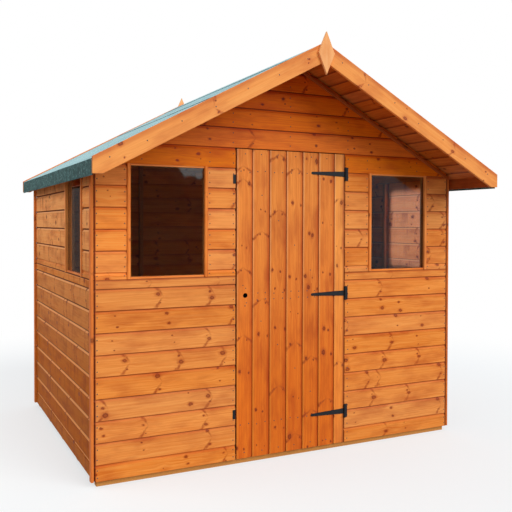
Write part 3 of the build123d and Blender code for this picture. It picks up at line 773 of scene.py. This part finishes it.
def felt_sheet(side, path, lift, ripple=0.5 * mm):
    """A sheet over the path: its two faces stand off along the outward direction by lift and by
    lift plus the felt's thickness, and both carry the same slow ripple, a product of sines of the
    place."""
    base, outward = np.array(path).transpose(1, 0, 2)
    seed = rng.uniform(0, 2 * pi, 3)
    there_and_back = np.r_[0:len(base), len(base) - 1:-1:-1]

    def distance(line):
        return np.cumsum(np.r_[0, np.linalg.norm(np.diff(line, axis=0), axis=1)])

    def place(along, across, depth):
        point, out = base[there_and_back], outward[there_and_back]
        # ripples are 1.2 m long from front to rear and 0.7 m down the slope
        wave = 1 + np.sin(along * 5.1 + seed[0]) * np.sin(distance(base)[there_and_back] * 9 + seed[1])
        off = lift + depth + ripple * wave
        return side * (point[:, 0] + out[:, 0] * off), along, point[:, 1] + out[:, 1] * off

    run = distance(base + outward * 2 * mm)
    loop = [(r, FELT) for r in run] + [(r, 0) for r in run[::-1]]
    return carry(loop, roof_run, place, step=60 * mm, bow=0)


print(f"each slope is {slope_length:.3f} m long")


# %% Mineral felt finish: coarse granules that scatter all light, dark where wet, paler in the sun
felt, add, shader = finish("green_mineral_felt", Roughness=0.9, IOR=1.5, Specular_IOR_Level=0.25)
where = add("TexCoord", out="Object")
upward = add("SeparateXYZ", [add("NewGeometry", out="Normal")], out="Z")
# granules are 1 or 2 mm wide in fact and drawn 5 mm wide, because they would be too fine to show
granules = add("TexVoronoi", {"Vector": where, "Scale": 1 / (5 * mm), "Randomness": 1.0}).node
grit = add("SeparateXYZ", [granules.outputs["Color"]])
clumps = add("TexNoise", [where, 1 / (22 * mm), 4, 0.7])
mottled = add("MapRange", [add("Math MULTIPLY_ADD", [grit, 0.35, clumps]), 0.48, 0.88, 0, 1])
# rain runs off the slope and leaves dark trails down the fold
trails = add("TexNoise", [add("VectorMath MULTIPLY", [where, (45, 45, 7)]), 1.0, 2])
# the sun pales what faces it, in clouds 20 cm wide
sunned = add("MapRange", [upward, 0.2, 0.85, 0.04, 0.95])
clouds = add("MapRange", [add("TexNoise", [where, 5.0, 5, 0.6]), 0.3, 0.7, 0.78, 1])
specks = add("TexVoronoi", {"Vector": where, "Scale": 1 / (8 * mm)}, out="Color")
colour = add("Mix", [mottled, "#0E2D2B", "#3E6764"])
for amount, tint in (
        (add("MapRange", [trails, 0.45, 0.7, 0, 0.7]), "#0C1E1D"),
        (add("Math MULTIPLY", [clouds, sunned]), add("Mix", [mottled, "#96C2C5", "#C8EAEC"])),
        (add("MapRange", [add("SeparateXYZ", [specks]), 0.88, 0.9, 0, 0.5]), "#7FA3A3"),
        (add("MapRange", [upward, -0.5, -0.8, 0, 1]), "#0C0B0B")):
    colour = add("Mix", [amount, colour, tint])
relief = add("Bump", [0.6, 1.2 * mm, granules.outputs["Distance"]])
link(shader, Base_Color=colour, Normal=relief)
print(felt.name, "is made of", len(felt.node_tree.nodes), "nodes")

# %% Lay the felt
LAP = 75 * mm
EDGE = 9.8 * mm  # room for the fold's ripple inside the frame's own felt
upper_end = 0.38 * slope_length  # where the lower course begins, under the upper one
fold = roof_foot + ROOF_BOARD / cos(PITCH) - low("roof_felt_right")[2]
for side, hand in HANDS:
    sheets = [felt_sheet(side, felt_path(upper_end, slope_length - EDGE, fold), 0.3 * mm),
              felt_sheet(side, felt_path(0, upper_end + LAP, 0), 3 * mm)]
    piece(f"felt_{hand}_sheets", sheets, felt, "shed", ["roof_felt_" + hand])

wing = 170 * mm  # how far the ridge strip reaches down each slope
crown_z = ridge + ROOF_BOARD / cos(PITCH) - 2 * mm
right_wing = [(on_boards(run), SQUARE) for run in np.linspace(wing, 0, 8)][::-1]
left_wing = [((-x, z), (-out, up)) for (x, z), (out, up) in right_wing[::-1]]
crown = [((0, crown_z), (sin(a), cos(a))) for a in (-0.25, 0.25)]
cap = felt_sheet(1, left_wing + crown + right_wing, 6 * mm, ripple=0.3 * mm)
piece("ridge_felt_strip", [cap], felt, "shed", ["ridge_cap"])

# %% [markdown]
# ## Battens under the roof's edge
# The eaves battens carry the felt's fold and show under the eaves. They are stained like the trim.

# %% Eaves battens
batten_foot, batten_width = low("eaves_battens")[2], 30 * mm
inner_x = roof_x - batten_width
loop = np.array([(inner_x, batten_foot), (roof_x, batten_foot), (roof_x, roof_foot),
                 (inner_x, roof_foot + batten_width * SLOPE)])
loop = loop.mean(0) + (loop - loop.mean(0)) * 0.999  # a hair smaller, so that it stays off its neighbours
eaves = [carry(loop, roof_run, lambda along, across, depth: (side * across, along, depth), bow=0)
         for side in (-1, 1)]
piece("eaves_laths", eaves, cover_stain, "shed", ["eaves_battens"])

# %% [markdown]
# ## Floor
# The floor is of tongued boards across the bearers. It shows through the open door and a little
# through the windows.

# %% Floor boards
FLOOR_BOARDS = 21
floor_low, floor_high = low("floor_boards"), high("floor_boards")
cover = (floor_high[0] - floor_low[0]) / FLOOR_BOARDS
planks = [carry(jointed(floor_low[0] + k * cover, cover, floor_high[2] - floor_low[2], 0.8 * mm, 0.3 * mm),
                (floor_low[1], floor_high[1]),
                lambda along, across, depth: (across, along, floor_high[2] - depth), bow=0)
          for k in range(FLOOR_BOARDS)]
piece("floor_planks", planks, floor_wood, "shed", ["floor_boards"])

# %% [markdown]
# ## The door
# The door's leaf is made of upright boards of the same pattern, with the hollow on the right of
# each one. The keyhole goes through the first board. There the board is made in parts: a strip
# with the hollow at full height, a plain part above, one below, and between them a patch that
# blends from the hole's rim to its own square edge. A Boolean would cut the hole too, but leave
# long thin faces round it that shade badly.

# %% Door boards
FIRST_BOARD, DOOR_COVER, LEAF_GAP = 103 * mm, 114.8 * mm, 0.2 * mm
door_low, door_high = low("door_boards"), high("door_boards")
door_left, door_y, door_foot = door_low
door_thickness, full_height = door_high[1] - door_y, (door_foot, door_high[2])
door_edges = [door_left, *(door_left + FIRST_BOARD + DOOR_COVER * k for k in range(6)), door_high[0]]
board_mid = [(first + last) / 2 for first, last in zip(door_edges, door_edges[1:])]


def at_door(along, across, depth):
    return across, door_y + depth, along


leaf = []
for k, (first, last) in enumerate(zip(door_edges[1:], door_edges[2:]), 1):
    narrow = k == len(door_edges) - 2
    loop = [(first + h + LEAF_GAP, d) for h, d in shiplap(last - first, door_thickness, not narrow)]
    leaf.append(carry(loop, full_height, at_door, bow=0.3 * mm))
    leaf[-1][3][:, :2] = (3.4, 2.4) if narrow else (0.2 + 0.6 * (k % 2), 0.5)
print("door boards at x (mm):", [round(x * 1000) for x in door_edges])

# %% The board with the keyhole
KEYHOLE, PATCH = 14 * mm, 45 * mm  # radius of the hole, half height of the patch
key_x, key_z = keyhole
flat_end = door_edges[1] - 22 * mm
patch_low, patch_high = key_z - PATCH, key_z + PATCH
FIRST_TONE, FIRST_HUE, FIRST_CUT = 1.4, 0.5, (3.3, 0.3)  # the last is where in the log it is cut


def own_facts(points):
    """Grain and board facts of a point of the first board, whichever part it belongs to."""
    x, y, z = points.T
    grain = triples(z + FIRST_CUT[0], x - (door_left + flat_end) / 2, y - door_y + FIRST_CUT[1])
    return grain, triples(FIRST_TONE + 0 * x, FIRST_HUE, (x - door_left) / (FIRST_BOARD + TONGUE))


def holed_patch(bottom, top):
    """A square patch with a round hole: point (a, t) lies t of the way from the rim at angle a to
    the square's edge at the same angle. Front, outer wall, back and rim close into a ring."""
    left, right = door_left - key_x, flat_end - key_x
    corners = np.arctan2([PATCH, PATCH, -PATCH, -PATCH], [right, left, left, right]) % (2 * pi)
    angle = np.unique(np.concatenate([np.linspace(0, 2 * pi, 64, endpoint=False), corners]))
    c, s = np.cos(angle), np.sin(angle)
    to_side = np.where(c > 0, right, left) / np.where(abs(c) < 1e-9, 1e-9, c)
    to_level = PATCH / np.maximum(abs(s), 1e-9)
    border = np.minimum(abs(to_side), to_level)
    rim = KEYHOLE * (1 + 0.03 * np.sin(2 * angle + 0.5))
    layers = [(0, 0.8 * mm), (0.02, 0.1 * mm), (0.03, 0), (0.3, 0), (0.65, 0), (1, 0), (1, door_thickness),
              (0, door_thickness)]
    t, depth = np.array(layers).T
    reach = rim[:, None] + t * (border - rim)[:, None]
    z = np.clip(key_z + reach * s[:, None], bottom, top)
    points = triples(key_x + reach * c[:, None], door_y + depth, z)
    grain, board = own_facts(points)
    board.reshape(len(angle), len(layers), 3)[:, [0, -1], 2] = 2.0  # the hole's wall is burnt black
    return points, skin(len(angle), len(layers), wrapped=True), grain, board


strip = [(h + door_left, d) for h, d in shiplap(FIRST_BOARD, door_thickness) if h + door_left > flat_end]
strip += [(flat_end, door_thickness), (flat_end, 0)]
plain = [(door_left, mm), (door_left + mm, 0), (flat_end, 0), (flat_end, door_thickness),
         (door_left, door_thickness)]
for loop, run in ((strip, full_height), (plain, (door_foot, patch_low)), (plain, (patch_high, door_high[2]))):
    points, faces = carry(loop, run, at_door, bow=0)[:2]
    leaf.append((points, faces, *own_facts(points)))
leaf.append(holed_patch(patch_low, patch_high))
piece("door_matchboards", leaf, door_stain, "door", ["door_boards"])

# %% [markdown]
# ## Glass
# Horticultural float glass is nearly clear. What makes it look real is not colour but what lies on
# it: a film of dust in soft patches, which greys it a little and dulls the mirror.

# %% Window glass
glass, add, shader = finish("float_glass", Roughness=0.02, IOR=1.52, Transmission_Weight=1.0)
film = add("TexNoise", [add("TexCoord", out="Object"), 6.0, 4])
tint = add("Mix", [film, "#EDEDEB", "#F6F4F2"])
link(shader, Base_Color=tint, Roughness=add("MapRange", [film, 0.35, 0.8, 0.01, 0.06]))
dress(glass, "window_panes")

# %% [markdown]
# ## Ironwork
# Tee hinges and plates are pressed steel under black japan, a baked lacquer. It is smooth but
# thick, so it rounds every edge, and it greys a little where hands and weather reach it. The lock's
# case gets a black of its own behind the keyhole, because its keyway is dark to the bottom.

# %% Black japanned iron and the dark keyway
iron, add, shader = finish("black_japanned_iron", Roughness=0.5, IOR=1.5, Specular_IOR_Level=0.25)
where = add("TexCoord", out="Object")
colour = add("Mix", [add("TexNoise", [where, 60.0, 5]), "#07090C", "#161B22"])
orange_peel = add("TexNoise", [where, 260.0, 2])  # lacquer dries in dimples about 4 mm apart
link(shader, Base_Color=colour, Normal=add("Bump", [0.25, 0.3 * mm, orange_peel]))
dress(iron, "hinge_straps", "hinge_plates", "hinge_pins", "lock_keep", "keep_plates")

keyway, add, shader = finish("dark_keyway_iron", Roughness=0.9, Specular_IOR_Level=0.1)
behind = (key_x, door_y + door_thickness, key_z)
from_key = add("VectorMath DISTANCE", [add("TexCoord", out="Object"), behind], out="Value")
colour = add("Mix", [add("MapRange", [from_key, 18 * mm, 24 * mm, 0, 1]), "#020202", "#14181E"])
link(shader, Base_Color=colour)
dress(keyway, "lock_case")

# %% [markdown]
# ## Nails and screws
# A shed shows its nails: two through every board at each stud, rows through the door into its
# ledges and braces, one line along the bargeboards and four in each finial. There are hundreds, so
# each head is a low dome with only eight sides: rings of radius r that rise by h. Heads stand a
# little proud and sit a little off their marks, as hammered ones do. The nails are galvanised, so
# they are a dull grey with a spangle of zinc crystals that is different from head to head.

# %% Rows of heads
zinc, add, shader = finish("galvanised_steel", Metallic=0.5, Roughness=0.7)
spangle = add("TexVoronoi", {"Vector": add("TexCoord", out="Object"), "Scale": 1 / (2.5 * mm)}, out="Color")
link(shader, Base_Color=add("Mix", [add("SeparateXYZ", [spangle]), "#1E242C", "#4C5762"]))

NAIL_INSET = 13 * mm


def heads(spots, normal, radius=3.4 * mm, height=0.9 * mm, sides=8, stray=2.0 * mm):
    """Shells of domed heads. Each ring of a head has its share r of the radius and its share h of
    the height, and every head is the same dome moved to its spot and a small random step aside."""
    normal = np.array(normal, float)
    east = np.cross((0, 0, 1), normal)
    north = np.cross(normal, east)
    turn = np.linspace(0, 2 * pi, sides, endpoint=False)[:, None]
    rings = [(1, -1.0), (1, 0.35), (0.72, 0.85)]
    dome = np.concatenate([radius * r * (np.cos(turn) * east + np.sin(turn) * north) + height * h * normal
                           for r, h in rings])
    spots = np.asarray(spots, float)
    step = rng.normal(0, stray / 2, (len(spots), 2))
    spots = spots + step[:, :1] * east + step[:, 1:] * north
    faces = skin(len(rings), sides)
    return [(dome + spot, faces, dome * 0 + spot, dome * 0 + 0.5) for spot in spots]


def board_nails(seams, lines, wall_y=front_y):
    """Two nails about a quarter of the way in from each edge of a board, or one in the middle of a
    narrow board, at every upright line."""
    spots = []
    for bottom, top in zip(seams, seams[1:]):
        shares = (0.24, 0.7) if top - bottom > 60 * mm else (0.5,)
        spots += [(x, wall_y, foot + bottom + share * (top - bottom)) for x in lines for share in shares]
    return spots


def below_slope(spots):
    """Leaves out nails that would come closer than 60 mm to the slope's edge."""
    return [spot for spot in spots if abs(spot[0]) < gable_reach(spot[2] + 30 * mm) - 60 * mm]


print("a nail's head has", len(skin(3, 8)), "faces")


# %% Nails of the front and rear walls
wall_ends = (-gable_x + NAIL_INSET, doorway[0] - NAIL_INSET)
around_window = (left_window[0] - NAIL_INSET, left_window[1] + NAIL_INSET)
below = [z for z in front_seams if z < sill + mm]
beside = [z for z in front_seams if sill - mm < z < window_top + mm]
above = [z for z in front_seams if z > window_top - mm]
spots = board_nails(below, wall_ends) + board_nails(beside, (*wall_ends, *around_window))
spots += board_nails(above, (-0.95, around_window[1], wall_ends[1]))
# the right wall mirrors the left one, with its nails beside the doorway 4 mm further out
spots += [(4 * mm - x if x > -0.5 else -x, y, z) for x, y, z in spots]
spots += below_slope(board_nails(gable_seams[:-1], (-0.40, 0.40, -0.02)))
piece("front_wall_nails", heads(spots, (0, -1, 0)), zinc, "shed")

rear_lines = [low("rear_studs")[0] + 14 * mm, -0.39, 0.39, high("rear_studs")[0] - 14 * mm]
spots = below_slope(board_nails([*plain_seams, *gable_seams[1:-1]], rear_lines, rear_y))
piece("rear_wall_nails", heads(spots, (0, 1, 0)), zinc, "shed")

# %% Nails of the side walls
first_line, last_line = inside_front + 30 * mm, inside_rear - 30 * mm
window_lines = side_window[0] - NAIL_INSET, side_window[1] + NAIL_INSET
for side, hand, lines in ((-1, "left", (first_line, *window_lines, 0.33, last_line)),
                          (1, "right", (first_line, -0.32, 0.32, last_line))):
    spots = [(side * side_x, y, z) for y, _, z in board_nails(side_seams[:-1], lines)
             if side > 0 or z - foot > sill or not -0.9 <= y <= 0.2]
    piece(hand + "_side_nails", heads(spots, (side, 0, 0)), zinc, "shed")

# %% Nails of the bargeboards and finials
centre = (low("front_finial")[2] + high("front_finial")[2]) / 2
runs_down = np.arange(150 * mm, barge_x / cos(PITCH) - 60 * mm, 210 * mm)
for end, way, edge in (("front", -1, low), ("rear", 1, high)):
    face_y = edge(end + "_bargeboard_left")[1]
    spots = [on_slope(side, barge_apex, face_y)(run, -barge_width * (0.42 + 0.1 * (k % 2)), 0)
             for side in (-1, 1) for k, run in enumerate(runs_down)]
    face_y = edge(end + "_finial")[1] - 0.8 * mm * way
    spots += [(x * mm, face_y, centre + z * mm) for x, z in ((-22, 4), (-6, 12), (8, -6), (24, 3))]
    piece(end + "_barge_nails", heads(spots, (0, way, 0)), zinc, "shed")

# %% Nails of the door
HINGE_PLATE, PAIR = 85 * mm, 27 * mm  # height of a hinge's plate, half the distance of two nails
hinge_low = round(low("hinge_plates")[2] + HINGE_PLATE / 2, 4)
hinge_high = round(high("hinge_plates")[2] - HINGE_PLATE / 2, 4)
ledge_mid = (hinge_low + hinge_high) / 2
spots = [(x + aside, z) for x in board_mid[1:5] for z in (ledge_mid - 15 * mm, ledge_mid + 23 * mm)
         for aside in (-PAIR, PAIR)]
spots += [(x + aside, z) for x in board_mid[:5] for z in (hinge_low, hinge_high - 6 * mm)
          for aside in (-PAIR, PAIR) if x < board_mid[4] or aside < 0]
spots += [(x, z) for x in board_mid[:6] for z in (door_foot + 34 * mm, door_high[2] - 28 * mm)]
spots += [(key_x + x * mm, key_z + z * mm) for x, z in ((-20, 60), (0, 45), (8, -43), (2, -63))]
for z0, z1 in ((hinge_low, ledge_mid), (ledge_mid, hinge_high)):  # the braces fall to the right
    fall = (z0 - z1) / (board_mid[5] - board_mid[0])
    spots += [(x, z1 + fall * (x - board_mid[0])) for x in board_mid[1:5]]
door_nails = heads([(x, door_y, z) for x, z in spots], (0, -1, 0), stray=5 * mm)
piece("door_nails", door_nails, zinc, "door")

# %% Screws of the hinges
pin_x = (low("hinge_pins")[0] + high("hinge_pins")[0]) / 2
sunk = 3 * mm - 0.3 * mm  # the metal's thickness less the countersink
levels = (hinge_low, ledge_mid, hinge_high)
strap_spots = [(pin_x - run * mm, door_y - sunk, z) for z in levels for run in (40, 95, 150, 205)]
plate_spots = [(pin_x + 15 * mm, front_y - sunk, z + rise * mm) for z in levels for rise in (-30, 0, 30)]
for name, spots, body in (("strap_screws", strap_spots, "door"), ("plate_screws", plate_spots, "shed")):
    piece(name, heads(spots, (0, -1, 0), 4.4 * mm, 0.5 * mm, 12, 0), iron, body)

# %% [markdown]
# ## Stage
# A pale floor, a soft sky and one wide soft sun stand for an overcast day with the light coming
# from the right. The floor that the camera sees is white, but the light it throws back up is that
# of a grey floor, so that the roof's underside stays in shade.

# %% Floor and sky
def seen_by_eye(add):
    """1 for rays from the camera, a mirror or glass, and 0 for rays that only gather light."""
    rays = add("LightPath").node.outputs
    seen = add("Math MAXIMUM", [rays["Is Camera Ray"], rays["Is Glossy Ray"]])
    return add("Math MAXIMUM", [seen, rays["Is Transmission Ray"]])


HALF = 30.0  # half the floor's width in metres
floor_mesh = bpy.data.meshes.new("pale_floor")
floor_corners = [(-HALF, -HALF, 0), (HALF, -HALF, 0), (HALF, HALF, 0), (-HALF, HALF, 0)]
floor_mesh.from_pydata(floor_corners, [], [(0, 1, 2, 3)])
floor = in_scene("pale_floor", floor_mesh)
ground, add, shader = finish("pale_floor")
seen = seen_by_eye(add)
white, grey = (add("BsdfDiffuse", {"Color": tint}) for tint in ("#F0F6F6", "#8E8C88"))
away = add("VectorMath LENGTH", [add("TexCoord", out="Object")], out="Value")
far = add("MapRange SMOOTHSTEP", [away, 2.4, 5.0, 0, 1])  # the floor fades into the backdrop
veil = add("Math MULTIPLY", [add("MapRange", [far, 0, 1, 0.58, 1]), seen])
glow = add("Emission", {"Color": "#FFFFFF", "Strength": 1.0})
shown = add("MixShader", [veil, add("MixShader", [seen, grey, white]), glow])
link(ground.node_tree.nodes["Material Output"].inputs, Surface=shown)
floor_mesh.materials.append(ground)

world = bpy.data.worlds.new("overcast")
bpy.context.scene.world = world
world.use_nodes = True
add = partial(add_node, world.node_tree)
sky = add("Background", {"Color": "#F4F7FF", "Strength": 0.68})
backdrop = add("Background", {"Color": "#FFFFFF", "Strength": 1.0})
shown = add("MixShader", [seen_by_eye(add), sky, backdrop])
link(world.node_tree.nodes["World Output"].inputs, Surface=shown)
print("pale floor and overcast sky")

# %% Lamps
def lamp(name, kind, energy, place, way, **settings):
    """A lamp at a place that shines along a way."""
    light = bpy.data.lights.new(name, kind)
    light.energy = energy
    for key, value in settings.items():
        setattr(light, key, value)
    thing = in_scene(name, light)
    thing.location = place
    thing.rotation_euler = Vector(way).to_track_quat("-Z", "Y").to_euler()
    return thing


lamp("soft_sun", "SUN", 1.85, (0, 0, 0), (-3, 7, -4.4), angle=radians(50))
lamp("side_fill", "AREA", 55, (-4.6, 0.8, 3.4), (3.4, -0.6, -1.9), size=2.5, color=(1.0, 0.96, 0.9))
# panes let no lamp's light through, so this one stands for the daylight behind the side window
daylight = lamp("window_daylight", "AREA", 2.4, (-1.14, side_window[0] + 75 * mm, 1.395), (1, 0, 0),
                shape="RECTANGLE", size=0.50, size_y=0.53, spread=radians(2.5), color=(0.44, 0.5, 1.0))
daylight.visible_camera = daylight.visible_glossy = daylight.visible_transmission = False
print("lamps:", [light.name for light in bpy.data.lights])

# %% [markdown]
# Window glass mirrors whatever stands in front of it, and in an all-white studio that is white.
# Photographers hang flags there, sheets of dull cloth, so that the panes stay deep. These flags are
# a ring of cloth as high as a hedge, which only mirror rays can see: brown before the left pane,
# slate before the right one, and black behind.

# %% Flags for the glass
FLAGS, RING, HEDGE = 720, 11.0, 2.45  # strips of cloth, the ring's radius, its height
turn = np.linspace(0, 2 * pi, FLAGS, endpoint=False)
waves = ((5, 0.2), (13, 0.16), (29, 0.12), (71, 0.1), (163, 0.05), (301, 0.04))
ragged_top = HEDGE + sum(h * np.sin(n * turn + n) for n, h in waves)
ring = RING * np.stack([np.sin(turn), np.cos(turn)], -1)
points = np.concatenate([np.c_[ring, 0 * turn + 0.01], np.c_[ring, ragged_top]])
mesh = bpy.data.meshes.new("dark_flags")
mesh.from_pydata(points.tolist(), [], skin(2, FLAGS)[:-2])
flags = in_scene("dark_flags", mesh)
for dye, colour in (("brown", "#6E3A20"), ("black", "#1C120C"), ("slate", "#9DB4C4")):
    mesh.materials.append(finish(dye + "_flag_cloth", Base_Color=colour)[0])
cloth_used = np.where(np.cos(turn) > 0, 1, np.where(np.sin(turn) > 0.42, 2, 0))
mesh.polygons.foreach_set("material_index", cloth_used.astype(np.int32))
flags.visible_camera = flags.visible_diffuse = flags.visible_shadow = False
print("flags round the shed, strips of each cloth:", np.bincount(cloth_used))

# %% [markdown]
# ## Camera
# The camera stands in front of the shed and a little to its left, at eye height. Its axes are
# worked out from three small angles, so that each can be read and changed by itself.

# %% Camera
yaw, tip, roll = radians(26.922), radians(1.060), radians(0.161)
ahead = Vector((sin(yaw) * cos(tip), cos(yaw) * cos(tip), -sin(tip)))
level = Vector((cos(yaw), -sin(yaw), 0))
right_way = cos(roll) * level + sin(roll) * level.cross(ahead)
up_way = right_way.cross(ahead)
eye = bpy.data.cameras.new("camera")
eye.lens, eye.sensor_width = 49.511, 36
eye.shift_x, eye.shift_y = -0.0239, -0.0364
camera = in_scene("camera", eye)
camera.matrix_world = Matrix((right_way, up_way, -ahead)).transposed().to_4x4()
camera.location = (-2.0885, -4.7553, 1.4238)
bpy.context.scene.camera = camera
bpy.context.scene.view_settings.view_transform = "Standard"
print("camera at", camera.location[:], "with a lens of", eye.lens, "mm")
